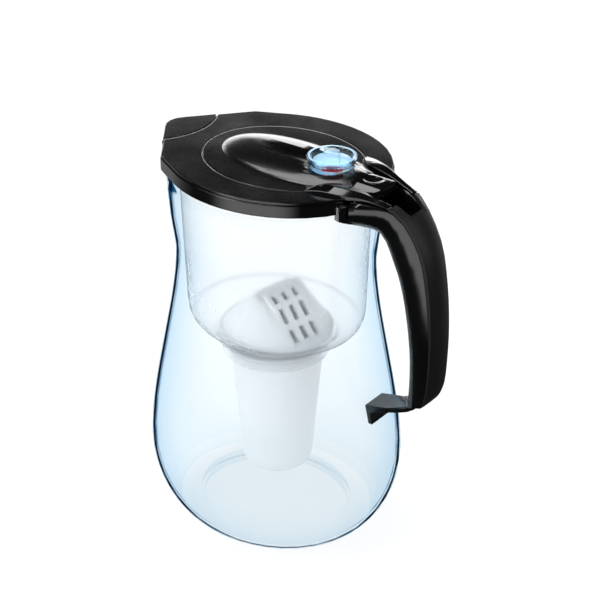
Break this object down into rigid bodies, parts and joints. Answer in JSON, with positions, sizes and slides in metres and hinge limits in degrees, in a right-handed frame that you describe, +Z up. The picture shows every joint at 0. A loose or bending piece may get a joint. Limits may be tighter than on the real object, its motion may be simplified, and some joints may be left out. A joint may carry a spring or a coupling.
{
  "type": "water filter pitcher",
  "caption": "Oval clear pitcher with a spout, a closed handle, a hopper with a filter cartridge hanging in its mouth, and a lid with a flip hatch, a spout flap and a dial.",
  "frame": {"origin": "middle of the foot ring, on the table plane that the pitcher stands on", "axes": "+Z up; +X toward the handle, so the spout points along -X; +Y to the side, across the hatch's hinge"},
  "size_m": [0.2181, 0.1542, 0.2739],
  "materials": {
    "clear_jug": "clear plastic with a light blue tint",
    "clear_hopper": "clear plastic",
    "clear_blue": "polished, light blue",
    "satin_black": "satin, finely textured",
    "gloss_black": "polished",
    "soft_black": "soft satin",
    "white_plastic": "satin",
    "grey_plastic": "satin",
    "seal_rubber": "matt",
    "filter_grains": "loose grains",
    "felt": "felt",
    "red_mark": "polished",
    "pale_blue_plastic": "polished",
    "steel": "bright drawn"
  },
  "bodies": {
    "jug_body": {"jug": "clear_jug", "handle_core": "gloss_black", "handle_cover": "soft_black", "handle_screw": "steel"},
    "hopper_body": {"hopper": "clear_hopper"},
    "cartridge_body": {"cartridge_cup": "white_plastic", "cartridge_cap": "grey_plastic", "cartridge_seal": "seal_rubber", "filter_media": "filter_grains", "top_pad": "felt", "bottom_pad": "felt"},
    "lid_body": {"lid_plate": "satin_black", "lid_skirt": "gloss_black", "left_wing": "gloss_black", "right_wing": "gloss_black", "hatch_pin": "steel", "flap_pins": "gloss_black"},
    "hatch_body": {"hatch_frame": "satin_black", "hatch_dome": "gloss_black", "hatch_liner": "satin_black", "dial_base": "pale_blue_plastic", "dial_mark": "red_mark"},
    "dial_body": {"dial_knob": "clear_blue", "dial_clip": "white_plastic"},
    "flap_body": {"spout_flap": "satin_black"}
  },
  "joints": [
    {"name": "hopper_lift", "type": "slide", "parent": "jug_body", "child": "hopper_body", "axis": [0, 0, 1], "range_m": [0, 0.23]},
    {"name": "cartridge_lift", "type": "slide", "parent": "hopper_body", "child": "cartridge_body", "axis": [0, 0, 1], "range_m": [0, 0.07]},
    {"name": "lid_lift", "type": "slide", "parent": "hopper_body", "child": "lid_body", "axis": [0, 0, 1], "range_m": [0, 0.04]},
    {"name": "hatch_hinge", "type": "hinge", "parent": "lid_body", "child": "hatch_body", "pos_m": [0.076, 0, 0.2592], "axis": [0, 1, 0], "range_deg": [0, 65]},
    {"name": "dial_turn", "type": "hinge", "parent": "hatch_body", "child": "dial_body", "pos_m": [0.0458, 0, 0.268], "axis": [0, 0, 1], "continuous": true},
    {"name": "flap_hinge", "type": "hinge", "parent": "lid_body", "child": "flap_body", "pos_m": [-0.0662, 0, 0.2609], "axis": [0, 1, 0], "range_deg": [0, 50]}
  ]
}
